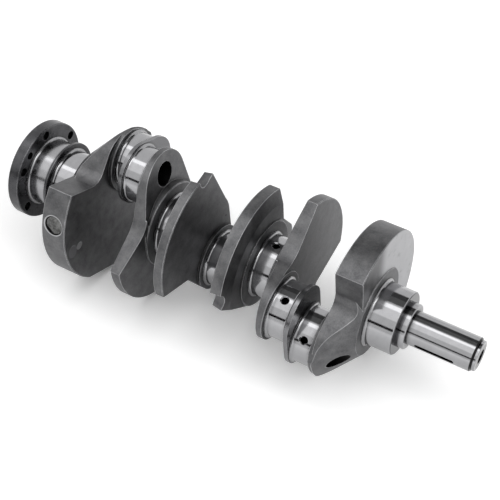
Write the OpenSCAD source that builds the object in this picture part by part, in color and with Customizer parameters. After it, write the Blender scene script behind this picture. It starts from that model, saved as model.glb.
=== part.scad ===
// Split-pin crankshaft for a 90 degree six-cylinder engine, lying at rest
// Origin: centre of the flywheel flange's rear face. +X runs along the shaft to the snout, +Z is up.
// All sizes are in mm and all angles in degrees, measured about +X from +Y towards +Z.

/* [Journals] */
// Diameter of the four main bearing journals
main_d = 63.5; // [58:0.1:68]
// Diameter of the six crankpins
pin_d = 57.15; // [50:0.05:60]
// Crank radius, half of the piston stroke
throw_r = 46.04; // [42:0.02:48]
// Angle between the two pins of one throw
split_angle = 30; // [24:1:32]
// Width of one crankpin
pin_w = 21.2; // [19:0.1:23]
// Rolled fillet radius at the journal ends
fillet_r = 2.4; // [1.5:0.1:3]
// Flat land between a rolled fillet and the web
land_t = 0.5; // [0.3:0.1:0.8]

/* [Spacing along the shaft] */
// Distance between neighbouring throws
throw_pitch = 107.7; // [105:0.1:112]
// Width of the front main journal
main_front_w = 28.4; // [25:0.1:32]
// Width of the rear main journal with its run-out
main_rear_w = 28.9; // [26:0.1:32]
// Thickness of the four inner webs at the hub
web_t = 19; // [18:0.1:20.5]
// Thickness of the front web at the hub
web_front_t = 32.4; // [31:0.1:36]
// Thickness of the rear web at the hub
web_rear_t = 35; // [33:0.1:38]
// Thickness of the flying web between two pins
flying_t = 4; // [3:0.1:5]

/* [Webs] */
// Roll of the first throw as the shaft lies at rest
throw_1_roll = 187.7; // [0:0.1:360]
// Radius of the hub disc around a main journal
hub_r = 45; // [42:0.1:47]
// Radius of the rounded pin end
lobe_r = 32.5; // [32:0.1:34]
// Distance of the pin end's centre from the shaft axis
lobe_at = 49; // [48:0.1:50]
// Lean of the pin end's centre away from the throw's middle
lobe_lean = 17; // [15:0.5:19]
// Extra width of the pin end on each side in the two webs with a wide lightening mouth
lobe_extra = 2.6; // [1:0.1:3]
// Radius of the raised thrust face around a crankpin
boss_r = 36; // [34:0.1:37]
// Height of that thrust face on the second and fifth webs
boss_h = 1.2; // [0.8:0.1:1.6]
// Radius of the flying web around each pin
flying_r = 32.2; // [31.5:0.1:33]
// Thickness left at the tip of an inner pin end
tip_t = 5.5; // [5:0.1:7]
// Taper of an inner pin end
tip_taper = 8.3; // [7:0.1:9]
// Radius at which the cone on the two outer webs ends
cone_r = 80; // [78:0.1:81]
// Thickness left at that radius
cone_t = 2; // [1.5:0.1:3]
// Small chamfer on machined edges
edge = 0.8; // [0.4:0.1:1.2]

/* [Counterweights] */
// Radius of the front counterweight
cw_front_r = 81.4; // [78:0.1:84]
// Radius of the rear counterweight
cw_rear_r = 86.6; // [84:0.1:90]
// Flat across the bottom of the rear counterweight
cw_rear_flat = 81.5; // [77:0.1:84]
// Radius of the second and fifth counterweights
cw_inner_r = 83.3; // [80:0.1:86]
// Radius of the two middle counterweights
cw_middle_r = 78; // [75:0.1:82]
// Set-back of the outer counterweights from the pin side
cw_outer_set = 3.5; // [2.5:0.1:4.5]
// Thickness of the outer counterweights
cw_outer_t = 27.6; // [26:0.1:28]
// Thickness of the inner counterweights at the rim
cw_inner_t = 12; // [11:0.1:13]
// Thickness of the fourth counterweight at the rim
cw_fourth_t = 9.6; // [9:0.1:11]
// Set-back of the middle counterweights from the pin side
cw_middle_set = 2.8; // [2:0.1:3.5]
// Distance of the outer counterweights' shoulder from the axis, towards the throw
shoulder_near = 28; // [26:0.1:30]
// Distance of their other shoulder from the axis, away from the throw
shoulder_far = 18; // [14:0.1:22]
// Inner rounding under the near shoulder
shoulder_round_r = 16; // [10:0.5:18]
// Inner rounding where an inner counterweight's flank leaves the pin end
flank_round_r = 36; // [20:1:44]
// Radius where the middle counterweights start to thin
thin_from_r = 62; // [58:0.1:66]
// Depth of that thinning at the rim
thin_t = 3.2; // [2:0.1:4]

/* [Lightening and balance] */
// Diameter of the lightening hole in a pin
light_d = 19; // [16:0.1:20]
// Diameter of its wide mouth in the inner front webs
light_mouth_d = 25.6; // [23:0.1:29]
// Depth of the lightening hole inside the pin
light_depth = 14; // [10:0.1:16]
// Distance of the lightening hole from the shaft axis
light_at = 58.2; // [57:0.1:60]
// Lean of the lightening hole away from the throw's middle
light_lean = 16.5; // [14:0.5:18]
// Diameter of the heavy balance plug
plug_d = 18.6; // [16:0.1:20]
// Length of the balance plug
plug_l = 22; // [18:0.5:26]
// Depth of the plug's face below the rim
plug_sunk = 2; // [1:0.1:3]
// Depth of the countersink around the plug
plug_sink = 1.6; // [1:0.1:2]
// Lean of the plug from the third throw
plug_lean = 95.4; // [90:0.1:100]
// Radius of the balance scallops in the third and fourth webs
scallop_r = 9.6; // [8:0.1:11]
// Distance of the third web's scallop from the flank beside it
scallop_3_in = 5.9; // [5:0.1:7]
// Distance of the fourth web's scallop from the flank beside it
scallop_4_in = 11.9; // [11:0.1:13]
// Lean of the fourth web's scallop across the rim
scallop_4_lean = 29; // [20:1:32]
// Length of the horn left beside a scallop, along its flank
horn_l = 52; // [50:0.1:56]
// Slant of the scallop and of that horn's blunt end
horn_tilt = 26; // [0:1:28]

/* [Rear end] */
// Diameter of the flywheel flange
flange_d = 104; // [100:0.1:110]
// Thickness of the flange
flange_t = 12.4; // [10:0.1:15]
// Diameter of the bolt circle
bolt_circle_d = 89; // [86:0.1:90]
// Diameter of the bolt holes
bolt_d = 9.4; // [9:0.1:12]
// Number of bolt holes
bolt_count = 6; // [4:1:6]
// Diameter of the dowel hole
dowel_d = 8; // [6:0.1:9]
// Diameter of the pilot bore
pilot_d = 32; // [26:0.1:36]
// Depth of the pilot bore
pilot_depth = 26; // [16:0.5:30]
// Diameter of the seal collar
collar_d = 70; // [66:0.1:72]
// Length of the seal collar
collar_l = 23; // [20:0.1:26]
// Diameter of the oil slinger
slinger_d = 78.6; // [75:0.1:82]
// Thickness of the oil slinger
slinger_t = 3; // [2:0.1:4]

/* [Front end] */
// Diameter of the timing gear seat
gear_seat_d = 45; // [40:0.1:50]
// Length of the timing gear seat
gear_seat_l = 8; // [6:0.1:12]
// Diameter of the snout
snout_d = 33.4; // [30:0.1:36]
// Length of the snout with its tip
snout_l = 66.9; // [60:0.1:75]
// Diameter of the tip
tip_d = 30; // [26:0.1:30]
// Length of the tip
tip_l = 3.8; // [2:0.1:5]
// Bore of the tapped hole in the snout
tap_d = 14; // [12:0.1:16]
// Depth of the tapped hole
tap_depth = 42; // [30:0.5:50]
// Width of the keyway
key_w = 4.8; // [4:0.1:6]
// Depth of the keyway
key_depth = 2.6; // [2:0.1:3]
// Length of the keyway
key_l = 38.7; // [30:0.1:45]
// Distance of the keyway from the gear seat
key_from = 9; // [6:0.1:12]
// Roll of the keyway from the first throw
key_roll = 6; // [0:0.5:20]

/* [Oil ways] */
// Diameter of the oil holes in the journals
oil_d = 6.4; // [5:0.1:7]
// Diameter of the slanted drillings through the webs
drill_d = 5.6; // [4.5:0.1:6]
// Depth of the countersink at an oil hole
oil_sink = 1.4; // [0.8:0.1:1.8]
// Lean of a pin's oil hole back from its own throw
oil_lean = 60; // [50:1:66]
// Depth of a pin's oil hole
oil_depth = 12; // [11:0.5:13]
// Depth at which the slanted drilling leaves a pin's oil hole
oil_meet = 5; // [4.5:0.1:5.5]

/* [Hidden] */
// Facets of the preview mesh; the real surfaces are round
$fn = 96;
// Angle between neighbouring throws
throw_step = 120;
// Overshoot of cutting shapes
cut = 1;
// Length of a counterweight's flank inside the hub
root = 5;
// Overlap by which an inner rounding runs into its walls
bite = 0.1;
// Place on the throw's middle line where a widened pin end starts
lobe_start = 7;
main_r = main_d / 2;
pin_r = pin_d / 2;
pair_w = 2 * pin_w + flying_t;
main_mid_w = throw_pitch - pair_w - 2 * web_t;

// Stations along the shaft, from the flange's rear face forwards
x_collar = flange_t;
x_slinger = x_collar + collar_l;
x_main_4 = x_slinger + slinger_t;
x_web_6 = x_main_4 + main_rear_w;
x_throw_3 = x_web_6 + web_rear_t;
x_throw_2 = x_throw_3 + throw_pitch;
x_throw_1 = x_throw_2 + throw_pitch;
x_web_5 = x_throw_3 + pair_w;
x_web_3 = x_throw_2 + pair_w;
x_web_1 = x_throw_1 + pair_w;
x_main_3 = x_web_5 + web_t;
x_main_2 = x_web_3 + web_t;
x_main_1 = x_web_1 + web_front_t;
x_gear_seat = x_main_1 + main_front_w;
x_snout = x_gear_seat + gear_seat_l;
x_tip = x_snout + snout_l;

// Pin and lobe centres in a web's own frame: first towards the throw, then sideways
pin_c = throw_r * [cos(split_angle / 2), sin(split_angle / 2)];
lobe_c = lobe_at * [cos(lobe_lean), sin(lobe_lean)];
light_c = light_at * [cos(light_lean), sin(light_lean)];
// Plain round cheek of the outer webs
cheek_r = lobe_r - 3;
cheek_c = [throw_r, 0];
// Flanks of the inner counterweights: start on the hub and heading
flank_inner = [[75, 145], [-126, 171]];
flank_middle = [[86.5, 147], [-84, 194]];
// Roll of each main journal's oil hole from the first throw
main_oil_roll = [83, -97, 83, 83];
// Flange hole pattern, turned with the shaft
bolt_roll = throw_1_roll - 162.7;
dowel_roll = throw_1_roll - 65.7;

steel_forged = [0.30, 0.30, 0.31];
steel_ground = [0.80, 0.80, 0.82];
steel_turned = [0.56, 0.56, 0.58];
heavy_alloy = [0.62, 0.60, 0.56];

// Helpers

function ray(a) = [cos(a), sin(a)];

function throw_roll(k) = throw_1_roll + throw_step * (k - 1);

function pin_roll(k, front) = throw_roll(k) + (front ? 1 : -1) * split_angle / 2;

function throw_x(k) = [x_throw_1, x_throw_2, x_throw_3][k - 1];

function pin_x(k, front) = throw_x(k) + (front ? pin_w + flying_t : 0);

// Turns a flat profile about the shaft, with its Y along the shaft
module turned() {
  rotate([90, 0, 90]) rotate_extrude() children();
}

// Own frame of one throw: X towards the throw, Y sideways, Z along the shaft
module in_throw(k, x) {
  translate([x, 0, 0]) rotate([throw_roll(k), 0, 0]) rotate([90, 0, 90]) children();
}

// Own frame of a web: Z = 0 on its pin side and rising to its main side
module in_web(k, x, front) {
  in_throw(k, x) rotate([front ? 0 : 180, 0, 0]) children();
}

// Two circles and the belt around them
module belt(c1, r1, c2, r2) {
  d = c2 - c1;
  a = atan2(d.y, d.x);
  b = acos((r1 - r2) / norm(d));
  translate(c1) circle(r1);
  translate(c2) circle(r2);
  polygon([c1 + r1 * ray(a + b), c1 + r1 * ray(a - b), c2 + r2 * ray(a - b), c2 + r2 * ray(a + b)]);
}

// Angle at which a belt around circles r1 and r2, set d apart, leaves the first one
function belt_angle(r1, r2, d) = acos((r1 - r2) / d);

// Crossing of two lines, each with a point and a heading
function crossing(p, h, q, k) = p + cross(q - p, ray(k)) / cross(ray(h), ray(k)) * ray(h);

// Rounded filling of the inner corner at c, between walls that head along angles h and k
module corner_round(c, h, k, r) {
  half = (h - k) / 2;
  mid = (h + k) / 2;
  centre = c + (r / sin(half) - bite) * ray(mid);
  difference() {
    polygon([c - root * ray(mid), c + r / tan(half) * ray(k), centre, c + r / tan(half) * ray(h)]);
    translate(centre) circle(r);
  }
}

// Filled inner corner at the origin, rounded with radius r, towards +X and +Y
module inner_round(r) {
  difference() {
    square(r);
    translate([r, r]) circle(r);
  }
}

// Half profile of a journal with a land and a rolled fillet at each chosen end
module journal_profile(r, w, low, high) {
  square([r, w]);
  if (low) {
    square([r + fillet_r, land_t]);
    translate([r, land_t]) inner_round(fillet_r);
  }
  if (high) {
    translate([0, w - land_t]) square([r + fillet_r, land_t]);
    translate([r, w - land_t]) mirror([0, 1]) inner_round(fillet_r);
  }
}

// Half profile of a disc with both rims chamfered
module disc_profile(r, w, c) {
  polygon([[0, 0], [r - c, 0], [r, c], [r, w - c], [r - c, w], [0, w]]);
}

// Straight drilling between two points
module drilling(p, q, d) {
  v = q - p;
  translate(p) rotate([0, acos(v.z / norm(v)), atan2(v.y, v.x)]) cylinder(d = d, h = norm(v));
}

// Oil hole of one crankpin with its countersink and its drilling to a main journal
module pin_oil(k, front, main_x) {
  roll = pin_roll(k, front);
  x = pin_x(k, front) + pin_w / 2;
  centre = [x, throw_r * cos(roll), throw_r * sin(roll)];
  out = [0, cos(roll - oil_lean), sin(roll - oil_lean)];
  translate(centre) rotate([roll - oil_lean, 0, 0]) rotate([-90, 0, 0]) rotate(front ? 180 : 0) {
    translate([0, 0, pin_r - oil_depth]) cylinder(d = oil_d, h = oil_depth + cut);
    translate([0, 0, pin_r - oil_sink])
      cylinder(r1 = oil_d / 2, r2 = oil_d / 2 + oil_sink + cut, h = oil_sink + cut);
  }
  drilling(centre + (pin_r - oil_meet) * out, [main_x, 0, 0], drill_d);
}

// Oil hole of one main journal with its countersink
module main_oil(i, x) {
  roll = throw_1_roll + main_oil_roll[i];
  out = [0, cos(roll), sin(roll)];
  drilling([x, 0, 0] - (oil_d / 2 + cut) * out, [x, 0, 0] + (main_r + cut) * out, oil_d);
  translate([x, 0, 0] + (main_r - oil_sink) * out) rotate([roll, 0, 0]) rotate([-90, 0, 0])
    cylinder(r1 = oil_d / 2, r2 = oil_d / 2 + oil_sink + cut, h = oil_sink + cut);
}

main_1_mid = x_main_1 + main_front_w / 2;
main_2_mid = x_main_2 + main_mid_w / 2;
main_3_mid = x_main_3 + main_mid_w / 2;
main_4_mid = x_main_4 + main_rear_w / 2;

// One main journal with its oil hole, and rolled fillets at the chosen ends
module main_journal(i, x, w, low, high) {
  difference() {
    translate([x, 0, 0]) rotate([throw_1_roll + main_oil_roll[i] + 140, 0, 0]) turned()
      journal_profile(main_r, w, low, high);
    main_oil(i, x + w / 2);
  }
}

// Lightening hole of a front pin: into the pin, and with a wide mouth in the inner webs
module lightening(k) {
  in_web(k, throw_x(k) + pair_w, true) translate(concat(light_c, [-light_depth]))
    cylinder(d = light_d, h = light_depth + web_front_t + cut);
}

module lightening_mouth(k) {
  in_web(k, throw_x(k) + pair_w, true) translate(light_c) {
    cylinder(d = light_mouth_d, h = web_t + cut);
  }
}

// Outline of an inner web's hub and pin end, which is wider on each side by extra
module inner_outline(extra) {
  if (extra > 0) {
    circle(hub_r);
    start_r = hub_r + extra - lobe_start * (hub_r - lobe_r) / (lobe_at - extra);
    belt(lobe_start * ray(lobe_lean), start_r, (lobe_at - extra) * ray(lobe_lean), lobe_r + extra);
  } else {
    belt([0, 0], hub_r, lobe_c, lobe_r);
  }
}

// Pin end of an inner web, set back from the pin side except for its thrust face
module inner_cheek(set, extra) {
  rise = tan(tip_taper);
  far = lobe_at + lobe_r;
  difference() {
    translate([0, 0, set]) linear_extrude(web_t - set) inner_outline(extra);
    translate([0, hub_r + lobe_r, 0]) rotate([90, 0, 0]) linear_extrude(2 * (hub_r + lobe_r))
      polygon([[far, tip_t], [2 * far, tip_t], [2 * far, 2 * web_t], [-hub_r, 2 * web_t],
               [-hub_r, tip_t + rise * (far + hub_r)]]);
  }
  linear_extrude(set + edge) intersection() {
    inner_outline(extra);
    translate(pin_c) circle(boss_r);
  }
  translate([0, 0, web_t / 2]) rotate_extrude() disc_profile(hub_r, web_t / 2, edge);
}

// Counterweight between two flanks, with its half profile as the child
module flanked(flanks, extra, round_r = 0) {
  far = 2 * cw_rear_r;
  a = hub_r * ray(flanks[0][0]) - root * ray(flanks[0][1]);
  b = hub_r * ray(flanks[1][0]) - root * ray(flanks[1][1]);
  intersection() {
    linear_extrude(web_t) {
      polygon([[0, 0], a, a + far * ray(flanks[0][1]), [-2 * far, 0], b + far * ray(flanks[1][1]), b]);
      if (round_r > 0) {
        flank_round(flanks[0], extra, round_r);
      }
    }
    rotate_extrude() children();
  }
}

// Rounding between a flank and the pin end's side
module flank_round(flank, extra, r) {
  side = lobe_lean + belt_angle(hub_r, lobe_r, lobe_at - extra);
  corner = crossing((hub_r + extra) * ray(side), side - 90, hub_r * ray(flank[0]), flank[1]);
  corner_round(corner, flank[1], side - 90, r);
}

// Half profile of an inner counterweight that thins from one radius to its rim
module thinning_profile(r, t, from_r, from_t) {
  polygon([[0, 0], [r - edge, 0], [r, edge], [r, t], [from_r, from_t], [0, from_t]]);
}

// Second and fifth webs
module inner_web(extra) {
  inner_cheek(boss_h, extra);
  translate([0, 0, boss_h]) flanked(flank_inner, extra, flank_round_r)
    thinning_profile(cw_inner_r, cw_inner_t - boss_h, hub_r - cut, web_t - boss_h - 2 * edge);
}

// Third and fourth webs, each with a slanted balance scallop and a blunt horn beside it
module middle_web(t, extra, inset, lean, tilt) {
  horn_c = hub_r * ray(flank_middle[1][0]) + horn_l * ray(flank_middle[1][1]);
  difference() {
    union() {
      inner_cheek(cw_middle_set, extra);
      translate([0, 0, cw_middle_set]) flanked(flank_middle, extra)
        thinning_profile(cw_middle_r, t, thin_from_r, t + thin_t);
    }
    translate(concat(horn_c, [cw_middle_set + t / 2])) rotate(flank_middle[1][1])
      rotate([lean, tilt, 0]) translate([0, 0, -web_t]) {
        translate([scallop_r - edge / 2, -inset, 0]) cylinder(r = scallop_r, h = 2 * web_t);
        translate([0, -inset, 0]) cube([scallop_r, 1.5 * inset, 2 * web_t]);
      }
  }
}

// Outline of an outer web without its counterweight
module outer_outline() {
  belt([0, 0], hub_r - 2 * edge, lobe_c, lobe_r);
  belt([0, 0], hub_r - 2 * edge, cheek_c, cheek_r);
  belt(cheek_c, cheek_r, lobe_c, lobe_r);
  side = belt_angle(hub_r - 2 * edge, cheek_r, throw_r);
  corner = crossing((hub_r - 2 * edge) * ray(-side), 90 - side, [shoulder_near, 0], -90);
  corner_round(corner, 90 - side, -90, shoulder_round_r);
}

// First and sixth webs: heavy counterweight, hub disc and a cheek turned to a cone
module outer_web(t, r, flat) {
  top = cw_outer_set + cw_outer_t;
  full = 2 * cone_r;
  slope = (cone_r - hub_r) / (t - edge - cone_t);
  intersection() {
    translate([0, 0, cw_outer_set]) rotate_extrude() disc_profile(r, cw_outer_t, edge);
    linear_extrude(top + cut) polygon([[-flat, -r], [shoulder_near, -r], [shoulder_near, 0],
                                       [-shoulder_far, 0], [-shoulder_far, r], [-flat, r]]);
  }
  intersection() {
    translate([0, 0, cw_outer_set]) linear_extrude(t - cw_outer_set) outer_outline();
    rotate_extrude() polygon([[0, 0], [full, 0], [full, cone_t], [cone_r, cone_t],
                              [hub_r, t - edge], [0, t - edge]]);
  }
  linear_extrude(cw_outer_set + edge) intersection() {
    outer_outline();
    translate(pin_c) circle(boss_r);
    circle(cone_r - slope * (cw_outer_set + edge - cone_t));
  }
  translate([0, 0, t / 2]) rotate_extrude() disc_profile(hub_r, t / 2, edge);
}

// One crankpin
module crankpin(k, front, main_x) {
  roll = pin_roll(k, front);
  color(steel_ground) difference() {
    translate([pin_x(k, front), throw_r * cos(roll), throw_r * sin(roll)])
      rotate([roll - oil_lean + 180, 0, 0]) turned() journal_profile(pin_r, pin_w, true, true);
    pin_oil(k, front, main_x);
    if (front) {
      lightening(k);
    }
  }
}

// Thin web between the two pins of a throw
module flying_web(k) {
  color(steel_turned) in_throw(k, throw_x(k) + pin_w) linear_extrude(flying_t)
    belt(pin_c, flying_r, [pin_c.x, -pin_c.y], flying_r);
}

// Pieces

module rear_flange() {
  color(steel_forged) difference() {
    turned() disc_profile(flange_d / 2, flange_t, edge);
    turned() translate([0, -cut]) square([pilot_d / 2, flange_t + 2 * cut]);
    for (i = [0 : bolt_count - 1]) {
      rotate([bolt_roll + 360 / bolt_count * i, 0, 0]) translate([-cut, bolt_circle_d / 2, 0])
        rotate([0, 90, 0]) cylinder(d = bolt_d, h = flange_t + 2 * cut);
    }
    rotate([dowel_roll, 0, 0]) translate([-cut, bolt_circle_d / 2, 0]) rotate([0, 90, 0])
      cylinder(d = dowel_d, h = flange_t + 2 * cut);
  }
}

module seal_collar() {
  color(steel_ground) difference() {
    translate([x_collar, 0, 0]) turned() journal_profile(collar_d / 2, collar_l, true, false);
    translate([x_collar - cut, 0, 0]) rotate([0, 90, 0])
      cylinder(d = pilot_d, h = pilot_depth - flange_t + cut);
  }
}

module oil_slinger() {
  color(steel_turned) translate([x_slinger, 0, 0]) turned() disc_profile(slinger_d / 2, slinger_t, edge / 2);
}

module main_journal_4() {
  color(steel_ground) difference() {
    main_journal(3, x_main_4, main_rear_w, true, true);
    pin_oil(3, false, main_4_mid);
  }
}

module crank_web_6() {
  color(steel_forged) difference() {
    in_web(3, x_throw_3, false) outer_web(web_rear_t, cw_rear_r, cw_rear_flat);
    pin_oil(3, false, main_4_mid);
    in_plug() cylinder(d = plug_d, h = plug_l + plug_sunk + cut);
    in_plug() translate([0, 0, plug_l + plug_sunk - plug_sink])
      cylinder(d1 = plug_d, d2 = plug_d + 2 * (plug_sink + cut), h = plug_sink + cut);
  }
}

// Own frame of the balance plug: Z outwards, 0 at the bottom of its hole
module in_plug() {
  x = x_throw_3 - cw_outer_set - cw_outer_t / 2;
  translate([x, 0, 0]) rotate([throw_roll(3) + plug_lean, 0, 0]) rotate([-90, 0, 0])
    translate([0, 0, cw_rear_r - plug_sunk - plug_l]) children();
}

module balance_plug() {
  color(heavy_alloy) in_plug() cylinder(d = plug_d, h = plug_l);
}

module crankpin_3_rear() {
  crankpin(3, false, main_4_mid);
}

module flying_web_3() {
  flying_web(3);
}

module crankpin_3_front() {
  crankpin(3, true, main_3_mid);
}

module crank_web_5() {
  color(steel_forged) difference() {
    in_web(3, x_web_5, true) inner_web(lobe_extra);
    pin_oil(3, true, main_3_mid);
    lightening_mouth(3);
  }
}

module main_journal_3() {
  color(steel_ground) difference() {
    main_journal(2, x_main_3, main_mid_w, true, true);
    pin_oil(3, true, main_3_mid);
    pin_oil(2, false, main_3_mid);
  }
}

module crank_web_4() {
  color(steel_forged) difference() {
    in_web(2, x_throw_2, false)
      middle_web(cw_fourth_t, 0, scallop_4_in, scallop_4_lean, -horn_tilt);
    pin_oil(2, false, main_3_mid);
  }
}

module crankpin_2_rear() {
  crankpin(2, false, main_3_mid);
}

module flying_web_2() {
  flying_web(2);
}

module crankpin_2_front() {
  crankpin(2, true, main_2_mid);
}

module crank_web_3() {
  color(steel_forged) difference() {
    in_web(2, x_web_3, true) middle_web(cw_inner_t, lobe_extra, scallop_3_in, 0, horn_tilt);
    pin_oil(2, true, main_2_mid);
    lightening_mouth(2);
  }
}

module main_journal_2() {
  color(steel_ground) difference() {
    main_journal(1, x_main_2, main_mid_w, true, true);
    pin_oil(2, true, main_2_mid);
    pin_oil(1, false, main_2_mid);
  }
}

module crank_web_2() {
  color(steel_forged) difference() {
    in_web(1, x_throw_1, false) inner_web(0);
    pin_oil(1, false, main_2_mid);
  }
}

module crankpin_1_rear() {
  crankpin(1, false, main_2_mid);
}

module flying_web_1() {
  flying_web(1);
}

module crankpin_1_front() {
  crankpin(1, true, main_1_mid);
}

module crank_web_1() {
  color(steel_forged) difference() {
    in_web(1, x_web_1, true) outer_web(web_front_t, cw_front_r, cw_front_r);
    pin_oil(1, true, main_1_mid);
    lightening(1);
  }
}

module main_journal_1() {
  color(steel_ground) difference() {
    main_journal(0, x_main_1, main_front_w, true, false);
    pin_oil(1, true, main_1_mid);
    translate([x_gear_seat, 0, 0]) turned() translate([main_r, 0]) rotate(45)
      square(2 * edge, center = true);
  }
}

module gear_seat() {
  color(steel_turned) translate([x_gear_seat, 0, 0]) turned()
    polygon([[0, 0], [gear_seat_d / 2, 0], [gear_seat_d / 2, gear_seat_l - edge],
             [gear_seat_d / 2 - edge, gear_seat_l], [0, gear_seat_l]]);
}

module snout() {
  slot = snout_d / 2 - key_depth;
  color(steel_ground) difference() {
    translate([x_snout, 0, 0]) turned()
      polygon([[0, 0], [snout_d / 2, 0], [snout_d / 2, snout_l - tip_l - edge],
               [snout_d / 2 - edge, snout_l - tip_l], [tip_d / 2, snout_l - tip_l],
               [tip_d / 2, snout_l - edge], [tip_d / 2 - edge, snout_l], [0, snout_l]]);
    translate([x_tip - tap_depth, 0, 0]) rotate([0, 90, 0]) cylinder(d = tap_d, h = tap_depth + cut);
    rotate([throw_1_roll + key_roll, 0, 0]) translate([x_snout + key_from, slot, 0]) rotate([-90, 0, 0])
      linear_extrude(key_depth + cut) {
        translate([key_w / 2, -key_w / 2]) square([key_l - key_w, key_w]);
        translate([key_w / 2, 0]) circle(d = key_w);
        translate([key_l - key_w / 2, 0]) circle(d = key_w);
      }
  }
}

rear_flange();
seal_collar();
oil_slinger();
main_journal_4();
crank_web_6();
balance_plug();
crankpin_3_rear();
flying_web_3();
crankpin_3_front();
crank_web_5();
main_journal_3();
crank_web_4();
crankpin_2_rear();
flying_web_2();
crankpin_2_front();
crank_web_3();
main_journal_2();
crank_web_2();
crankpin_1_rear();
flying_web_1();
crankpin_1_front();
crank_web_1();
main_journal_1();
gear_seat();
snout();
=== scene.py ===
"""Looks of a split-pin crankshaft: dark forged webs, polished journals and a bright studio.

The shaft lies along X with its flywheel flange at the origin. Lengths are in metres, except where
a name ends in _mm. Rolls are angles about +X from +Y towards +Z, in degrees.
"""

import logging
import math
from dataclasses import dataclass, replace
from enum import Enum

import bmesh
import bpy
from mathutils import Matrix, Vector


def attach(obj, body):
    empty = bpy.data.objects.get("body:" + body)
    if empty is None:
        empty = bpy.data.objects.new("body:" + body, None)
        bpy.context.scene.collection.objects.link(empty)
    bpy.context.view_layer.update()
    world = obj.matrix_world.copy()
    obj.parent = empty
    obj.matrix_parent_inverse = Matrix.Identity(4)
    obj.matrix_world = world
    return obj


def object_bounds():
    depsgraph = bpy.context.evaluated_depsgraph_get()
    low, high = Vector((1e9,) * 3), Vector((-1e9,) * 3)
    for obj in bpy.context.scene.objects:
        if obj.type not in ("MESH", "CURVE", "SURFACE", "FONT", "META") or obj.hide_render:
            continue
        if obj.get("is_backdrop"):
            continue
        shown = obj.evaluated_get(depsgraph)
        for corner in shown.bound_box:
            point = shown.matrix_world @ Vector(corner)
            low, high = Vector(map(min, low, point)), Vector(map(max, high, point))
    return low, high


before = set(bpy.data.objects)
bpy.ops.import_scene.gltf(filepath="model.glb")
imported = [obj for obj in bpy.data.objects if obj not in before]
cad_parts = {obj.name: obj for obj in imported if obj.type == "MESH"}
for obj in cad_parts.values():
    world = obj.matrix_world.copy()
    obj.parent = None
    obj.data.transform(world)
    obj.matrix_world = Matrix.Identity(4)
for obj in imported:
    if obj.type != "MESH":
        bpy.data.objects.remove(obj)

LOG = logging.getLogger("crankshaft")
MM = 0.001
# Half size, in mm, that stands for endless
ENDLESS = 1e5
# Length of the shaft, rounded up
SHAFT_LENGTH = 0.5
# Size of the blotches where the pits lie, and the levels of their pattern between which they fade in
PIT_MM = 11.0
PIT_LEVELS = {"From Min": 0.56, "From Max": 0.74}
# Share of the fine grain in the cloudy pattern, and the levels between which its tone and gloss change
GRAIN_SHARE = 0.3
TONE_LEVELS = {"From Min": 0.32, "From Max": 0.68}
GLOSS_LEVELS = {"From Min": 0.25, "From Max": 0.75}
# Bend of the rounded normal between which an edge goes from plain to brightened, and the gain of that
# brightening, which is partly rubbed metal and partly a painted highlight
EDGE_BEND = {"From Min": 0.995, "From Max": 0.90}
EDGE_RUB_AND_HIGHLIGHT_GAIN = 1.5
# Reach and tone of the painted shade in inner corners, and how open a place is where it ends
CORNER_SHADE_MM = 9.0
CORNER_SHADE_TONE = "#1a1a1a"
CORNER_SHADE_LEVELS = {"From Min": 0.45, "From Max": 0.85}
# How far a hole's painted shade reaches past its wall
HOLE_MARGIN_MM = 0.1
# Depth of a patch that marks one flat face only
FACE_MM = 0.9


class Slot(Enum):
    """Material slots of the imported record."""

    TURNED = "turned_steel"


class Marks(Enum):
    """Direction of the tool marks left on a surface."""

    NONE = "none"
    RINGS = "rings about the shaft's axis"
    BANDS = "bands across the shaft's axis"


class Side(Enum):
    """Which of a throw's two pins, or which end of it."""

    FRONT = 1
    REAR = -1


def linear(code: str) -> tuple[float, float, float, float]:
    """Turn an sRGB hex colour into linear RGBA.

    Args:
        code: Colour as #rrggbb.

    Returns:
        Linear red, green and blue, and an alpha of 1.
    """
    parts = [int(code[i : i + 2], 16) / 255 for i in (1, 3, 5)]
    flat = [c / 12.92 if c <= 0.04045 else ((c + 0.055) / 1.055) ** 2.4 for c in parts]
    return (flat[0], flat[1], flat[2], 1.0)


def add(tree: bpy.types.NodeTree, kind: str, links: dict | None = None,
        **settings: object) -> bpy.types.Node:
    """Add a node with its settings, and set or link its inputs.

    Args:
        tree: Node tree that gets the node.
        kind: Type name of the node.
        links: Input sockets, each with a plain value or another node's output socket.
        **settings: Properties of the node itself.

    Returns:
        The new node.
    """
    node = tree.nodes.new(kind)
    for key, value in settings.items():
        setattr(node, key, value)
    for key, value in (links or {}).items():
        if isinstance(value, bpy.types.NodeSocket):
            tree.links.new(value, node.inputs[key])
        else:
            node.inputs[key].default_value = value
    return node


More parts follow.
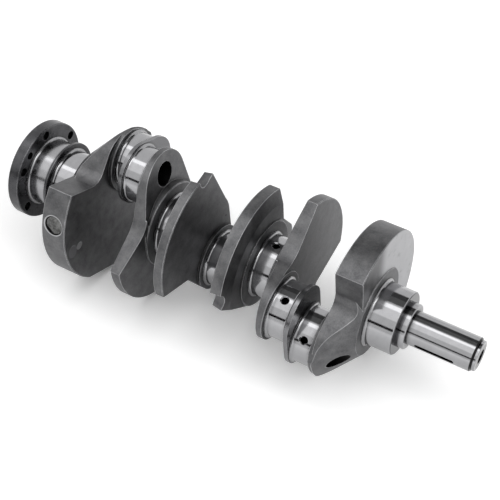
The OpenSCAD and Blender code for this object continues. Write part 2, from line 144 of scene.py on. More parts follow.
@dataclass(frozen=True)
class Patch:
    """A bounded place on a surface with a tone of its own, such as a dent, or painted shade inside a
    hole.

    Attributes:
        centre_mm: Centre of the place.
        radii_mm: Its half sizes along X, outwards and sideways.
        tone: Colour inside it.
        roll: Direction that counts as outwards.
        soft: Share of its size over which it fades.
        depth_mm: Depth of its dent, or 0 where it is flush.
        pitted: Share of it that is pitted down to the old skin.
    """

    centre_mm: tuple[float, float, float]
    radii_mm: tuple[float, float, float]
    tone: str
    roll: float = 0.0
    soft: float = 0.05
    depth_mm: float = 0.0
    pitted: float = 0.0

    def apply(self, tree: bpy.types.NodeTree, place: bpy.types.NodeSocket, tone: bpy.types.NodeSocket,
              normal: bpy.types.NodeSocket) -> tuple[bpy.types.NodeSocket, bpy.types.NodeSocket]:
        """Add the place to a material.

        Args:
            tree: Node tree of the material.
            place: Object coordinates.
            tone: Colour so far.
            normal: Normal so far.

        Returns:
            Colour and normal with the place in them.
        """
        local = add(tree, "ShaderNodeMapping", {"Vector": place, "Location": Vector(self.centre_mm) * MM,
                                                "Rotation": (math.radians(self.roll), 0.0, 0.0),
                                                "Scale": Vector(self.radii_mm) * MM},
                    vector_type="TEXTURE")
        away = add(tree, "ShaderNodeVectorMath", {"Vector": local.outputs["Vector"]}, operation="LENGTH")
        inside = add(tree, "ShaderNodeMapRange", {"Value": away.outputs["Value"],
                                                  "From Min": 1.0 - self.soft, "From Max": 1.0,
                                                  "To Min": 1.0, "To Max": 0.0},
                     interpolation_type="SMOOTHSTEP").outputs["Result"]
        share = inside
        if self.pitted:
            pits = add(tree, "ShaderNodeTexNoise", {"Vector": place, "Scale": 1 / (PIT_MM * MM),
                                                    "Detail": 8.0, "Roughness": 0.7}).outputs["Fac"]
            bare = add(tree, "ShaderNodeMapRange", {"Value": pits, **PIT_LEVELS, "To Min": 1.0,
                                                    "To Max": 1.0 - self.pitted})
            share = add(tree, "ShaderNodeMath", {0: inside, 1: bare.outputs["Result"]},
                        operation="MULTIPLY").outputs[0]
        tone = add(tree, "ShaderNodeMix", {"Factor": share, "A": tone, "B": linear(self.tone)},
                   data_type="RGBA").outputs["Result"]
        if self.depth_mm:
            normal = add(tree, "ShaderNodeBump", {"Height": inside, "Strength": 1.0, "Normal": normal,
                                                  "Distance": self.depth_mm * MM},
                         invert=True).outputs["Normal"]
        return tone, normal


@dataclass(frozen=True)
class SteelFinish:
    """One finish of the metal, with its colour, gloss, relief and edges that are rubbed brighter and
    carry a painted highlight.

    Attributes:
        name: Name of the material.
        light: Lighter tone of its cloudy patches.
        dark: Darker tone of its cloudy patches.
        roughness: Middle roughness.
        spread: How far the roughness varies.
        mottle_mm: Size of the cloudy patches.
        grain_mm: Size of the fine relief.
        grain_depth_mm: Height of the fine relief.
        edge_rub_and_highlight_tone: Tone of the edges: rubbed metal, and a painted highlight.
        edge_mm: Rounding of the edges.
        marks: Direction of the tool marks.
        marks_mm: Spacing of the tool marks.
        marks_depth_mm: Depth of the tool marks.
        patches: Places with a tone of their own.
    """

    name: str
    light: str
    dark: str
    roughness: float
    spread: float
    mottle_mm: float
    grain_mm: float
    grain_depth_mm: float
    edge_rub_and_highlight_tone: str
    edge_mm: float
    marks: Marks = Marks.NONE
    marks_mm: float = 1.0
    marks_depth_mm: float = 0.0
    patches: tuple[Patch, ...] = ()

    def material(self) -> bpy.types.Material:
        """Make the finish as a node material.

        Returns:
            A material that reads Object coordinates.
        """
        made = bpy.data.materials.new(self.name)
        made.use_nodes = True
        tree = made.node_tree
        tree.nodes.clear()
        place = add(tree, "ShaderNodeTexCoord").outputs["Object"]
        mottle = add(tree, "ShaderNodeTexNoise", {"Vector": place, "Scale": 1 / (self.mottle_mm * MM),
                                                  "Detail": 6.0, "Roughness": 0.62}).outputs["Fac"]
        grain = add(tree, "ShaderNodeTexNoise", {"Vector": place, "Scale": 1 / (self.grain_mm * MM),
                                                 "Detail": 3.0, "Roughness": 0.55}).outputs["Fac"]
        cloud = add(tree, "ShaderNodeMix", {"Factor": GRAIN_SHARE, "A": mottle,
                                            "B": grain}).outputs["Result"]
        blend = add(tree, "ShaderNodeMapRange", {"Value": cloud, **TONE_LEVELS})
        tone = add(tree, "ShaderNodeMix", {"Factor": blend.outputs["Result"], "A": linear(self.dark),
                                           "B": linear(self.light)}, data_type="RGBA").outputs["Result"]
        soft = add(tree, "ShaderNodeBevel", {"Radius": self.edge_mm * MM}, samples=6).outputs["Normal"]
        # Partly rubbed metal, partly painted highlight: edges get a brighter tone where the rounded
        # normal bends
        rubbed_and_lit = self.rub_and_highlight(tree, soft, cloud)
        tone = add(tree, "ShaderNodeMix", {"Factor": rubbed_and_lit, "A": tone, "B": linear(self.edge_rub_and_highlight_tone)},
                   data_type="RGBA").outputs["Result"]
        # Painted shade: the tone darkens where ambient occlusion finds the surface closed in
        openness = add(tree, "ShaderNodeAmbientOcclusion", {"Distance": CORNER_SHADE_MM * MM},
                       samples=8).outputs["AO"]
        unshaded = add(tree, "ShaderNodeMapRange", {"Value": openness, **CORNER_SHADE_LEVELS})
        tone = add(tree, "ShaderNodeMix", {"Factor": unshaded.outputs["Result"], "A": linear(CORNER_SHADE_TONE),
                                           "B": tone}, data_type="RGBA").outputs["Result"]
        normal = add(tree, "ShaderNodeBump", {"Height": grain, "Strength": 1.0, "Normal": soft,
                                              "Distance": self.grain_depth_mm * MM}).outputs["Normal"]
        if self.marks is not Marks.NONE:
            normal = self.tool_marks(tree, place, normal)
        for patch in self.patches:
            tone, normal = patch.apply(tree, place, tone, normal)
        gloss = add(tree, "ShaderNodeMapRange", {"Value": mottle, **GLOSS_LEVELS,
                                                 "To Min": self.roughness - self.spread,
                                                 "To Max": self.roughness + self.spread})
        shader = add(tree, "ShaderNodeBsdfPrincipled", {"Base Color": tone, "Metallic": 1.0,
                                                        "Roughness": gloss.outputs["Result"],
                                                        "Normal": normal})
        add(tree, "ShaderNodeOutputMaterial", {"Surface": shader.outputs["BSDF"]})
        return made

    def rub_and_highlight(self, tree: bpy.types.NodeTree, soft: bpy.types.NodeSocket,
             cloud: bpy.types.NodeSocket) -> bpy.types.NodeSocket:
        """Find the edges, which handling and machining leave brighter and which also get a painted
        highlight.

        Args:
            tree: Node tree of the material.
            soft: Normal with rounded edges.
            cloud: Cloudy pattern, which makes the brightening uneven.

        Returns:
            Share of brightened metal, partly rubbed and partly painted highlight, 1 on an edge.
        """
        true = add(tree, "ShaderNodeNewGeometry").outputs["Normal"]
        bend = add(tree, "ShaderNodeVectorMath", {0: soft, 1: true}, operation="DOT_PRODUCT")
        edge = add(tree, "ShaderNodeMapRange", {"Value": bend.outputs["Value"], **EDGE_BEND})
        uneven = add(tree, "ShaderNodeMath", {0: edge.outputs["Result"], 1: cloud}, operation="MULTIPLY")
        return add(tree, "ShaderNodeMath", {0: uneven.outputs[0], 1: EDGE_RUB_AND_HIGHLIGHT_GAIN}, operation="MULTIPLY",
                   use_clamp=True).outputs[0]

    def tool_marks(self, tree: bpy.types.NodeTree, place: bpy.types.NodeSocket,
                   normal: bpy.types.NodeSocket) -> bpy.types.NodeSocket:
        """Add turned or ground lines to the relief.

        Args:
            tree: Node tree of the material.
            place: Object coordinates.
            normal: Normal of the relief so far.

        Returns:
            Normal with the tool marks.
        """
        style = {"wave_type": "RINGS", "rings_direction": "X"}
        if self.marks is Marks.BANDS:
            style = {"wave_type": "BANDS", "bands_direction": "X"}
        # At a scale of 1 a wave texture repeats every 2 pi / 20 units.
        scale = 2 * math.pi / 20 / (self.marks_mm * MM)
        wave = add(tree, "ShaderNodeTexWave", {"Vector": place, "Scale": scale, "Distortion": 0.6,
                                               "Detail": 2.0, "Detail Scale": 1.5}, **style)
        lines = add(tree, "ShaderNodeBump", {"Height": wave.outputs["Fac"], "Strength": 1.0,
                                             "Distance": self.marks_depth_mm * MM, "Normal": normal})
        return lines.outputs["Normal"]


# Forged and black-oxided steel: a dark satin skin with cloudy patches and a sandy grain, rubbed
# brighter along its edges, where a painted highlight lies as well.
FORGED = SteelFinish("forged_steel_black_oxide", "#7c7c7d", "#505052", 0.46, 0.06, 14.0, 1.3, 0.03,
                     "#d2d2d4", 0.9)
# Ground and polished journal steel: a mirror with faint lines around it. The real lines are finer
# than 0.1 mm, so they are drawn 0.9 mm apart.
GROUND = SteelFinish("ground_journal_steel", "#a6a6a8", "#9a9a9c", 0.11, 0.03, 9.0, 0.8, 0.0,
                     "#c8c8ca", 0.4, Marks.BANDS, 0.9, 0.0006)
# Turned steel left from the lathe: half bright, with rings. The real feed is about 0.2 mm, so the
# rings are drawn 1.1 mm apart.
TURNED = SteelFinish("turned_steel", "#7c7c7e", "#66666a", 0.27, 0.05, 12.0, 0.9, 0.004,
                     "#b4b4b6", 0.5, Marks.RINGS, 1.1, 0.004)
# The flange is turned as well, and drawn in a darker copy of the turned steel as painted shade.
SHADED_FLANGE = replace(TURNED, name="turned_flange_steel", light="#5c5c5e", dark="#3e3e40", roughness=0.28)
# Finely turned steel: the same metal with a smooth, even face.
FINE = replace(TURNED, name="finely_turned_steel", dark="#727274", roughness=0.22, spread=0.02,
               grain_depth_mm=0.0, marks=Marks.NONE)
# Sintered tungsten alloy: a dull, mottled face with coarse grains.
TUNGSTEN = SteelFinish("sintered_tungsten_alloy", "#868685", "#1e1e1e", 0.34, 0.08, 6.0, 1.6, 0.10,
                       "#8c8b89", 0.4)

# Tone of painted shade deep in a drilled hole, a slot or a small recess
HOLE_SHADE_TONE = "#141414"
# Tone of painted shade on a face behind a step
SHADE_TONE = "#5a5a5c"
# Tone of painted shade in a drilled hole that light still reaches, and in a crease
SHALLOW_SHADE_TONE = "#262626"
# Tone of a freshly cut face
CUT_TONE = "#b2b2b4"


@dataclass
class ShaftSizes:
    """Stations, radii and rolls of the shaft, as in the part's source.

    Attributes:
        throw_r_mm: Crank radius.
        split: Angle between the two pins of a throw.
        throw_1: Roll of the first throw.
        throw_step: Angle between neighbouring throws.
        pin_r_mm: Crankpin radius.
        main_r_mm: Main journal radius.
        throws_mm: Rear end of each throw, counted from the front.
        pin_w_mm: Width of a crankpin.
        flying_mm: Thickness of the web between two pins.
        mains_mm: Middle of each main journal, counted from the front.
        main_oil: Roll of each main journal's oil hole from the first throw.
        oil_lean: Lean of a pin's oil hole back from its own throw.
        light_at_mm: Distance of a lightening hole from the shaft's axis.
        light_lean: Lean of a lightening hole from the throw's middle.
        light_r_mm: Radius of a lightening hole in a pin and in the front web.
        mouth_r_mm: Radius of its wide mouth in the inner webs.
        plug_lean: Lean of the balance plug from the third throw.
        pilot_r_mm: Radius of the pilot bore in the rear end.
        seat_mm: Place along the shaft where the first main journal ends and the gear seat starts.
    """

    throw_r_mm: float = 46.04
    split: float = 30.0
    throw_1: float = 187.7
    throw_step: float = 120.0
    pin_r_mm: float = 28.575
    main_r_mm: float = 31.75
    throws_mm: tuple[float, float, float] = (317.7, 210.0, 102.3)
    pin_w_mm: float = 21.2
    flying_mm: float = 4.0
    mains_mm: tuple[float, float, float, float] = (410.7, 287.05, 179.35, 52.85)
    main_oil: tuple[float, float, float, float] = (83.0, -97.0, 83.0, 83.0)
    oil_lean: float = 60.0
    light_at_mm: float = 58.2
    light_lean: float = 16.5
    light_r_mm: float = 9.5
    mouth_r_mm: float = 12.8
    plug_lean: float = 95.4
    pilot_r_mm: float = 16.0
    seat_mm: float = 424.9

    def throw_roll(self, throw: int) -> float:
        """Give a throw's roll; throws are counted from 1 at the front."""
        return self.throw_1 + self.throw_step * (throw - 1)

    def plug_roll(self) -> float:
        """Give the roll of the balance plug."""
        return self.throw_roll(3) + self.plug_lean

    def pin_middle(self, throw: int, side: Side) -> tuple[Vector, float]:
        """Find a crankpin.

        Args:
            throw: Number of the throw.
            side: Which of its pins.

        Returns:
            Centre of the pin in mm, and its roll.
        """
        roll = self.throw_roll(throw) + side.value * self.split / 2
        x = self.throws_mm[throw - 1] + self.pin_w_mm / 2
        if side is Side.FRONT:
            x += self.pin_w_mm + self.flying_mm
        return Vector((x, 0, 0)) + self.throw_r_mm * outwards(roll), roll

    def light_hole(self, throw: int) -> Vector:
        """Find where a front pin's lightening hole leaves the pin, in mm."""
        x = self.throws_mm[throw - 1] + 2 * self.pin_w_mm + self.flying_mm
        return Vector((x, 0, 0)) + self.light_at_mm * outwards(self.throw_roll(throw) + self.light_lean)


def outwards(roll: float) -> Vector:
    """Give the unit vector across the shaft at a roll."""
    return Vector((0.0, math.cos(math.radians(roll)), math.sin(math.radians(roll))))


def dress(node: str, paint: bpy.types.Material) -> None:
    """Give a CAD node a finish.

    Args:
        node: Name of the node.
        paint: Material of the finish.
    """
    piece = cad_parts[node]
    for slot in piece.material_slots:
        slot.material = paint
    LOG.info("%s: %s", node, paint.name)


@dataclass
class Webs:
    """The six forged webs and the three thin webs between the pins.

    Attributes:
        faced_mm: Middle of the skimmed part of the first web's front face.
        faced_r_mm: Reach of the skimmed part.
        plug_mm: Place of the balance plug along the shaft.
        rim_mm: Radius of the sixth web's rim, where the plug sits.
        plug_deep_mm: Depth to which the plug's bore carries painted shade.
        plug_ring_mm: Outer radius of the bright ring around the plug.
        plug_step_mm: Radius inside which the countersink is painted dark, as shade.
        dents_mm: Two dents on the sixth web.
        dot_mm: A drill point on the fourth web, painted as a dark dot of shade.
    """

    faced_mm: tuple[float, float, float] = (395.2, 62.0, 0.0)
    faced_r_mm: float = 70.0
    plug_mm: float = 85.0
    rim_mm: float = 86.6
    plug_deep_mm: float = 60.0
    plug_ring_mm: float = 11.5
    plug_step_mm: float = 10.4
    dents_mm: tuple[tuple[float, float, float], ...] = ((98.8, -75.8, -10.3), (98.8, -65.1, -10.5))
    dot_mm: tuple[float, float, float] = (207.2, 37.9, -0.1)

    def build(self, sizes: ShaftSizes) -> None:
        """Dress the webs.

        Args:
            sizes: Sizes of the shaft.
        """
        for number, patches in enumerate(self.patches(sizes), start=1):
            finish = FORGED
            if patches:
                finish = replace(FORGED, name=f"{FORGED.name}_{number}", patches=patches)
            dress(f"crank_web_{number}", finish.material())
        paint = FINE.material()
        for throw in (1, 2, 3):
            dress(f"flying_web_{throw}", paint)

    def patches(self, sizes: ShaftSizes) -> list[tuple[Patch, ...]]:
        """List what marks each web, from the front.

        Args:
            sizes: Sizes of the shaft.

        Returns:
            The patches of each web.
        """
        faced = Patch(self.faced_mm, (FACE_MM, self.faced_r_mm, ENDLESS), CUT_TONE, soft=0.3, pitted=0.6)
        # Painted shade inside the lightening holes and the plug's countersink, and a dark dot of painted
        # shade for the drill point
        holes = {}
        for throw, radius in ((1, sizes.light_r_mm), (2, sizes.mouth_r_mm), (3, sizes.mouth_r_mm)):
            size = (ENDLESS, radius + HOLE_MARGIN_MM, radius + HOLE_MARGIN_MM)
            holes[throw] = Patch(tuple(sizes.light_hole(throw)), size, HOLE_SHADE_TONE, soft=0.01)
        roll = sizes.plug_roll()
        mouth = tuple(Vector((self.plug_mm, 0, 0)) + self.rim_mm * outwards(roll))
        ring = Patch(mouth, (self.plug_ring_mm, self.plug_deep_mm, self.plug_ring_mm), CUT_TONE,
                     roll=roll)
        step = replace(ring, radii_mm=(self.plug_step_mm, self.plug_deep_mm, self.plug_step_mm),
                       tone=HOLE_SHADE_TONE)
        dents = (Patch(self.dents_mm[0], (6.0, 6.8, 8.6), "#7e7e80", soft=0.2, depth_mm=0.3),
                 Patch(self.dents_mm[1], (6.0, 5.0, 4.7), "#a6a6a8", soft=0.2, depth_mm=0.3))
        dot = Patch(self.dot_mm, (4.0, 1.3, 1.3), HOLE_SHADE_TONE, soft=0.3)
        return [(faced, holes[1]), (), (holes[2],), (dot,), (holes[3],), (ring, step, *dents)]


@dataclass
class Journals:
    """Main journals, crankpins and the seal's collar.

    Attributes:
        hole_deep_mm: Depth at which the painted shade in an oil hole is centred.
        hole_reach_mm: Reach of that shade.
        light_deep_mm: Depth to which a lightening hole is painted dark, as shade.
        shade_mm: Depth of the painted shade on the first main journal's front face.
    """

    hole_deep_mm: float = 9.0
    hole_reach_mm: float = 8.0
    light_deep_mm: float = 16.0
    shade_mm: float = 0.6

    def build(self, sizes: ShaftSizes) -> None:
        """Dress the journals.

        Args:
            sizes: Sizes of the shaft.
        """
        paint = replace(GROUND, patches=self.holes(sizes)).material()
        for number in (1, 2, 3, 4):
            dress(f"main_journal_{number}", paint)
        for throw in (1, 2, 3):
            dress(f"crankpin_{throw}_front", paint)
            dress(f"crankpin_{throw}_rear", paint)
        # Painted shade inside the pilot bore
        pilot_mm = sizes.pilot_r_mm + 3 * HOLE_MARGIN_MM
        pilot = Patch((0.0, 0.0, 0.0), (ENDLESS, pilot_mm, pilot_mm), HOLE_SHADE_TONE, soft=0.01)
        collar = replace(GROUND, name="ground_collar_steel", roughness=0.2, patches=(pilot,))
        dress("seal_collar", collar.material())

    def holes(self, sizes: ShaftSizes) -> tuple[Patch, ...]:
        """List the painted shade inside the oil holes and lightening holes, and on the shaded front
        face.

        Args:
            sizes: Sizes of the shaft.

        Returns:
            The face's patch and one for each hole.
        """
        size = (self.hole_reach_mm,) * 3
        found = [Patch((sizes.seat_mm, 0, 0), (self.shade_mm, ENDLESS, ENDLESS), SHADE_TONE)]
        # Painted shade inside each oil hole and lightening hole
        for x, lean in zip(sizes.mains_mm, sizes.main_oil):
            out = outwards(sizes.throw_1 + lean)
            place = Vector((x, 0, 0)) + (sizes.main_r_mm - self.hole_deep_mm) * out
            found.append(Patch(tuple(place), size, HOLE_SHADE_TONE))
        for throw in (1, 2, 3):
            for side in Side:
                middle, roll = sizes.pin_middle(throw, side)
                place = middle + (sizes.pin_r_mm - self.hole_deep_mm) * outwards(roll - sizes.oil_lean)
                found.append(Patch(tuple(place), size, HOLE_SHADE_TONE))
            mouth = (sizes.mouth_r_mm if throw > 1 else sizes.light_r_mm) + 2 * HOLE_MARGIN_MM
            found.append(Patch(tuple(sizes.light_hole(throw)), (self.light_deep_mm, mouth, mouth),
                               HOLE_SHADE_TONE))
        return tuple(found)


@dataclass
class RearEnd:
    """Flywheel flange, oil slinger and the heavy balance plug.

    Attributes:
        circle_mm: Radius of the bolt circle.
        bolt_mm: Radius of a bolt hole.
        bolt_roll: Roll of the first bolt hole from the first throw.
        bolts: Number of bolt holes.
        dowel_mm: Radius of the dowel hole.
        dowel_roll: Roll of the dowel hole from the first throw.
        shade_mm: Middle of the painted shadow that the sixth web's rim casts over the plug's rear edge.
        shade_r_mm: Its radius.
    """

    circle_mm: float = 44.5
    bolt_mm: float = 4.7
    bolt_roll: float = -162.7
    bolts: int = 6
    dowel_mm: float = 4.0
    dowel_roll: float = -65.7
    shade_mm: tuple[float, float, float] = (69.9, -6.1, -20.3)
    shade_r_mm: float = 19.5

    def build(self, sizes: ShaftSizes) -> None:
        """Dress the rear pieces.

        Args:
            sizes: Sizes of the shaft.
        """
        # The flange and the slinger take the darker copy of turned steel, as painted shade
        dress("rear_flange", replace(SHADED_FLANGE, patches=self.holes(sizes)).material())
        dress("oil_slinger", SHADED_FLANGE.material())
        # Painted shadow: a dark crescent over the plug's rear edge
        shade = Patch(self.shade_mm, (self.shade_r_mm, ENDLESS, self.shade_r_mm), HOLE_SHADE_TONE, soft=0.06,
                      roll=sizes.plug_roll())
        dress("balance_plug", replace(TUNGSTEN, patches=(shade,)).material())

    def holes(self, sizes: ShaftSizes) -> tuple[Patch, ...]:
        """List the painted shade inside the flange's holes.

        Args:
            sizes: Sizes of the shaft.

        Returns:
            One patch for each hole.
        """
        places = [(self.bolt_roll + 360 / self.bolts * i, self.bolt_mm) for i in range(self.bolts)]
        # Painted shade inside the pilot bore and the bolt and dowel holes
        pilot_mm = sizes.pilot_r_mm + HOLE_MARGIN_MM
        found = [Patch((0.0, 0.0, 0.0), (ENDLESS, pilot_mm, pilot_mm), HOLE_SHADE_TONE, soft=0.01)]
        for roll, radius in (*places, (self.dowel_roll, self.dowel_mm)):
            place = self.circle_mm * outwards(sizes.throw_1 + roll)
            reach = radius + 1.5 * HOLE_MARGIN_MM
            found.append(Patch(tuple(place), (ENDLESS, reach, reach), SHALLOW_SHADE_TONE, soft=0.03))
        return tuple(found)


@dataclass
class FrontEnd:
    """Gear seat, keyed snout and the thread in it.

    Attributes:
        groove_mm: Length of the painted shade at the rear end of the gear seat.
        tip_mm: End of the snout.
        tap_r_mm: Radius of the tapped hole.
        dark_mm: Depth at which the painted shade in the tapped hole is centred.
        mouth_r_mm: Radius of the painted shade around its mouth.
        mouth_deep_mm: Depth of that shade.
        tip_l_mm: Length of the tip.
        root_mm: Half width of the line of painted shade at the tip's root.
        lead_mm: Depth at which the thread starts.
        pitch_mm: Pitch of the thread.
        flank_share: Share of the pitch that one flank of a ridge takes.
        crest_mm: Height of a thread ridge.
        turns: Number of its turns.
        steps: Steps in one turn.
        key_mm: Middle of the keyway along the shaft.
        key_reach_mm: Half sizes of the painted shade in the keyway.
        key_roll: Roll of the keyway from the first throw.
        key_r_mm: Radius at which the keyway's painted shade is centred.
    """

    groove_mm: float = 3.6
    tip_mm: float = 499.8
    tap_r_mm: float = 7.0
    dark_mm: float = 25.0
    mouth_r_mm: float = 12.4
    mouth_deep_mm: float = 1.0
    tip_l_mm: float = 3.8
    root_mm: float = 1.3
    lead_mm: float = 1.5
    pitch_mm: float = 2.0
    flank_share: float = 0.35
    crest_mm: float = 0.7
    turns: int = 12
    steps: int = 24
    key_mm: float = 461.25
    key_reach_mm: tuple[float, float, float] = (19.85, 2.9, 2.7)
    key_roll: float = 6.0
    key_r_mm: float = 13.6

    def build(self, sizes: ShaftSizes) -> None:
        """Make and dress the front pieces.

        Args:
            sizes: Sizes of the shaft.
        """
        # Painted shade at the rear end of the gear seat
        groove = Patch((sizes.seat_mm, 0, 0), (self.groove_mm, ENDLESS, ENDLESS), SHADE_TONE, soft=0.2)
        dress("gear_seat", replace(GROUND, name="ground_seat_steel", patches=(groove,)).material())
        # Painted shade in the keyway, down the tapped bore, around its mouth and in the crease at the
        # tip's root
        roll = sizes.throw_1 + self.key_roll
        slot = Patch(tuple(Vector((self.key_mm, 0, 0)) + self.key_r_mm * outwards(roll)),
                     self.key_reach_mm, HOLE_SHADE_TONE, roll=roll)
        wall = self.tap_r_mm + 3 * HOLE_MARGIN_MM
        bore = Patch((self.tip_mm - self.dark_mm, 0, 0), (self.dark_mm + 1.0, wall, wall), HOLE_SHADE_TONE)
        mouth = Patch((self.tip_mm, 0, 0), (self.mouth_deep_mm, self.mouth_r_mm, self.mouth_r_mm),
                      HOLE_SHADE_TONE)
        root = Patch((self.tip_mm - self.tip_l_mm, 0, 0), (self.root_mm, ENDLESS, ENDLESS),
                     SHALLOW_SHADE_TONE, soft=0.3)
        snout = replace(GROUND, name="ground_snout_steel", patches=(slot, bore, mouth, root))
        dress("snout", snout.material())
        thread = self.thread()
        thread.data.materials.append(TURNED.material())
        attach(thread, "root")
        LOG.info("%s: %d faces", thread.name, len(thread.data.polygons))

    def thread(self) -> bpy.types.Object:
        """Wind the ridge of the snout's thread inside its bore.

        Returns:
            The thread as one helical ridge.
        """
        shape = bmesh.new()
        start = (self.tip_mm - self.lead_mm) * MM
        half = self.flank_share * self.pitch_mm * MM
        wall = self.tap_r_mm * MM
        corners = ((start, wall), (start - half, wall - self.crest_mm * MM), (start - 2 * half, wall))
        end = shape.faces.new([shape.verts.new((x, r, 0.0)) for x, r in corners])
        bmesh.ops.spin(shape, geom=[end, *end.edges, *end.verts], cent=(0, 0, 0), axis=(1, 0, 0),
                       dvec=(-self.pitch_mm * MM / self.steps, 0, 0), angle=2 * math.pi * self.turns,
                       steps=self.steps * self.turns, use_merge=False, use_normal_flip=False,
                       use_duplicate=False)
        bmesh.ops.recalc_face_normals(shape, faces=shape.faces)
        return made_object("snout_thread", shape)


def made_object(name: str, shape: bmesh.types.BMesh) -> bpy.types.Object:
    """Turn a bmesh into an object of the scene.

    Args:
        name: Name of the object and its mesh.
        shape: The bmesh, which is freed.

    Returns:
        The object, at the origin.
    """
    mesh = bpy.data.meshes.new(name)
    shape.to_mesh(mesh)
    shape.free()
    made = bpy.data.objects.new(name, mesh)
    bpy.context.scene.collection.objects.link(made)
    return made


def stage_object(name: str, shape: bmesh.types.BMesh, paint: bpy.types.Material) -> bpy.types.Object:
    """Turn a shape into a piece of the studio.

    Args:
        name: Name of the piece.
        shape: Its bmesh, which is freed.
        paint: Its material.

    Returns:
        The object, marked as stage.
    """
    made = made_object(name, shape)
    made.data.materials.append(paint)
    made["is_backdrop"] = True
    return made


@dataclass(frozen=True)
class Softbox:
    """A soft lamp that faces the shaft.

    Attributes:
        name: Name of the lamp.
        place: Centre of the lamp.
        size: Its length along X and its width.
        glow: Its brightness, where 1 is as bright as the white surround.
        mirrored: Whether polished metal shows it.
    """

    name: str
    place: tuple[float, float, float]
    size: tuple[float, float]
    glow: float
    mirrored: bool = True

    def hang(self) -> None:
        """Hang the lamp and aim it at the nearest point of the shaft's axis."""
        lamp = bpy.data.lights.new(self.name, "AREA")
        lamp.shape = "RECTANGLE"
        lamp.size, lamp.size_y = self.size
        lamp.energy = self.glow * math.pi * self.size[0] * self.size[1]
        hung = bpy.data.objects.new(self.name, lamp)
        bpy.context.scene.collection.objects.link(hung)
        hung.visible_glossy = self.mirrored
        hung.location = self.place
        hung.rotation_mode = "QUATERNION"
        aim = Vector((min(max(self.place[0], 0.0), SHAFT_LENGTH), 0.0, 0.0))
        hung.rotation_quaternion = (aim - Vector(self.place)).to_track_quat("-Z", "Y")


@dataclass(frozen=True)
class Card:
    """A long card that only reflections see and that darkens part of polished metal.

    Attributes:
        name: Name of the card.
        low: Roll at which it starts, seen from the shaft.
        high: Roll at which it ends.
        reach: Distance from the shaft.
        tone: Its colour.
        rear: Where it ends along X, towards the flange.
        front: Where it ends along X, past the snout.
    """

    name: str
    low: float
    high: float
    reach: float
    tone: str
    rear: float
    front: float = 2.0

    def stand(self) -> None:
        """Stand the card beside the shaft."""
        shape = bmesh.new()
        ends = [shape.verts.new(Vector((self.rear, 0.0, 0.0)) + self.reach * outwards(roll))
                for roll in (self.low, self.high)]
        swept = bmesh.ops.extrude_edge_only(shape, edges=[shape.edges.new(ends)])
        moved = [part for part in swept["geom"] if isinstance(part, bmesh.types.BMVert)]
        bmesh.ops.translate(shape, verts=moved, vec=(self.front - self.rear, 0.0, 0.0))
        paper = bpy.data.materials.new(f"{self.name}_paper")
        paper.use_nodes = True
        tree = paper.node_tree
        tree.nodes.clear()
        matt = add(tree, "ShaderNodeBsdfDiffuse", {"Color": linear(self.tone)})
        add(tree, "ShaderNodeOutputMaterial", {"Surface": matt.outputs["BSDF"]})
        made = stage_object(self.name, shape, paper)
        made.visible_camera = False
        made.visible_diffuse = False
        made.visible_shadow = False


LAMPS = (Softbox("overhead_softbox", (0.3, -0.14, 1.55), (2.8, 0.40), 1.6),
         Softbox("near_softbox", (0.3, -0.78, 1.40), (2.8, 0.95), 0.5),
         Softbox("side_softbox", (1.7, -0.45, 1.5), (0.7, 0.7), 3.0),
         Softbox("floor_softbox", (1.0, -0.7, 0.8), (0.6, 0.6), 1.6, mirrored=False))
CARDS = (Card("dark_card_behind", 36.0, 58.0, 1.7, "#5c5c5c", -0.45),
         Card("grey_card_behind", 58.0, 82.0, 1.7, "#888888", -0.45),
         Card("black_card_near_floor", 163.0, 172.0, 1.9, "#0c0c0c", -3.0))


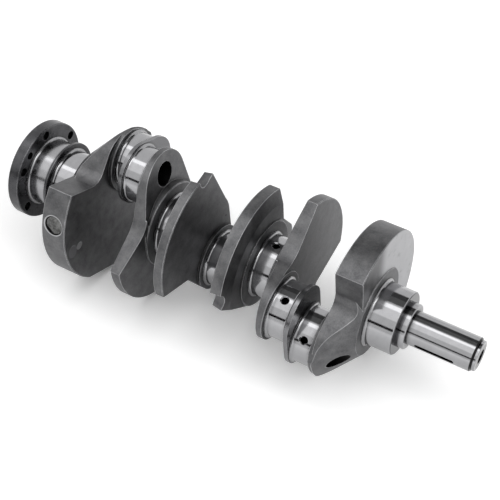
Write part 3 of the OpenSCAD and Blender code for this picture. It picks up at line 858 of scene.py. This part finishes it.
@dataclass
class Studio:
    """Pale floor, soft light, dark cards and the camera.

    A level of 1 is as bright as the white surround. Three levels in a row are those for light that
    falls on rough surfaces, for reflections and for the camera.

    Attributes:
        target: Point that the camera looks at.
        azimuth: Camera angle round the object, in degrees.
        elevation: Camera angle above the horizon, in degrees.
        distance: Distance of the camera from its target.
        lens_mm: Focal length on a 36 mm sensor.
        world_levels: Levels of the white surround.
        floor_half: Half the width of the floor.
        floor_gap: Gap between the shaft and the floor.
        floor_fill: Level of the floor for light on rough surfaces.
        floor_eye: Level of the floor for the camera.
        floor_spans: Distances beside the shaft between which its mirrored level changes, from a painted
            shade near the shaft to white.
        floor_mirrored: Mirrored levels at those distances.
    """

    target: tuple[float, float, float] = (0.258025, 0.0, 0.009761)
    azimuth: float = 30.790
    elevation: float = 46.074
    distance: float = 1.111582
    lens_mm: float = 82.600
    world_levels: tuple[float, float, float] = (0.65, 1.0, 1.0)
    floor_half: float = 12.0
    floor_gap: float = 0.0002
    floor_fill: float = 0.80
    floor_eye: float = 1.26
    floor_spans: tuple[float, float] = (0.05, 0.60)
    floor_mirrored: tuple[float, float] = (0.98, 1.35)

    def build(self) -> None:
        """Set up the floor, the light and the camera."""
        scene = bpy.context.scene
        scene.view_settings.view_transform = "Standard"
        self.camera(scene)
        self.world(scene)
        self.floor()
        for lamp in LAMPS:
            lamp.hang()
        for card in CARDS:
            card.stand()

    def camera(self, scene: bpy.types.Scene) -> None:
        """Put the camera at the photograph's angle.

        Args:
            scene: The scene.
        """
        lens = bpy.data.cameras.new("photo_camera")
        lens.lens = self.lens_mm
        lens.sensor_width = 36.0
        lens.clip_start = 0.01
        lens.clip_end = 50.0
        eye = bpy.data.objects.new("photo_camera", lens)
        scene.collection.objects.link(eye)
        az, el = math.radians(self.azimuth), math.radians(self.elevation)
        back = Vector((math.sin(az) * math.cos(el), -math.cos(az) * math.cos(el), math.sin(el)))
        eye.location = Vector(self.target) + back * self.distance
        eye.rotation_mode = "QUATERNION"
        eye.rotation_quaternion = (-back).to_track_quat("-Z", "Y")
        scene.camera = eye

    def seen(self, tree: bpy.types.NodeTree, fill: float, mirrored: float | bpy.types.NodeSocket,
             eye: float) -> bpy.types.NodeSocket:
        """Choose between the level that lights the scene and the levels that are seen.

        Args:
            tree: Node tree of the world or the floor.
            fill: Level for light that falls on rough surfaces.
            mirrored: Level for reflections and for what is seen through glass.
            eye: Level for the camera.

        Returns:
            The level.
        """
        path = add(tree, "ShaderNodeLightPath")
        both = add(tree, "ShaderNodeMath", {0: path.outputs["Is Glossy Ray"],
                                            1: path.outputs["Is Transmission Ray"]}, operation="MAXIMUM")
        level = add(tree, "ShaderNodeMapRange", {"Value": both.outputs[0], "To Min": fill,
                                                 "To Max": mirrored})
        return add(tree, "ShaderNodeMix", {"Factor": path.outputs["Is Camera Ray"], "B": eye,
                                           "A": level.outputs["Result"]}).outputs["Result"]

    def world(self, scene: bpy.types.Scene) -> None:
        """Make a white surround for the eye and for metal, and a softer fill for the floor.

        Args:
            scene: The scene.
        """
        made = bpy.data.worlds.new("white_studio")
        made.use_nodes = True
        tree = made.node_tree
        tree.nodes.clear()
        sky = add(tree, "ShaderNodeBackground", {"Color": (1.0, 1.0, 1.0, 1.0),
                                                 "Strength": self.seen(tree, *self.world_levels)})
        add(tree, "ShaderNodeOutputWorld", {"Surface": sky.outputs["Background"]})
        made.cycles.sampling_method = "NONE"
        scene.world = made

    def floor(self) -> None:
        """Lay a white floor under the shaft, which reflections show with a painted shade near the shaft.
        """
        low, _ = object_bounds()
        shape = bmesh.new()
        bmesh.ops.create_grid(shape, x_segments=1, y_segments=1, size=self.floor_half)
        bmesh.ops.translate(shape, verts=shape.verts,
                            vec=(SHAFT_LENGTH / 2, 0.0, low.z - self.floor_gap))
        paper = bpy.data.materials.new("white_paper")
        paper.use_nodes = True
        tree = paper.node_tree
        tree.nodes.clear()
        place = add(tree, "ShaderNodeTexCoord").outputs["Object"]
        aside = add(tree, "ShaderNodeSeparateXYZ", {"Vector": place}).outputs["Y"]
        away = add(tree, "ShaderNodeMath", {0: aside}, operation="ABSOLUTE").outputs[0]
        # Painted shade: metal mirrors the floor dimmer near the shaft
        near, far = self.floor_spans
        dim, bright = self.floor_mirrored
        mirrored = add(tree, "ShaderNodeMapRange", {"Value": away, "From Min": near, "From Max": far,
                                                    "To Min": dim, "To Max": bright}).outputs["Result"]
        level = self.seen(tree, self.floor_fill, mirrored, self.floor_eye)
        matt = add(tree, "ShaderNodeBsdfDiffuse", {"Color": level})
        add(tree, "ShaderNodeOutputMaterial", {"Surface": matt.outputs["BSDF"]})
        stage_object("pale_floor", shape, paper)


def main() -> None:
    """Dress the shaft piece by piece and set up the studio."""
    logging.basicConfig(level=logging.INFO, format="%(name)s: %(message)s")
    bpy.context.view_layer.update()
    sizes = ShaftSizes()
    Webs().build(sizes)
    Journals().build(sizes)
    RearEnd().build(sizes)
    FrontEnd().build(sizes)
    Studio().build()


if __name__ == "__main__":
    main()
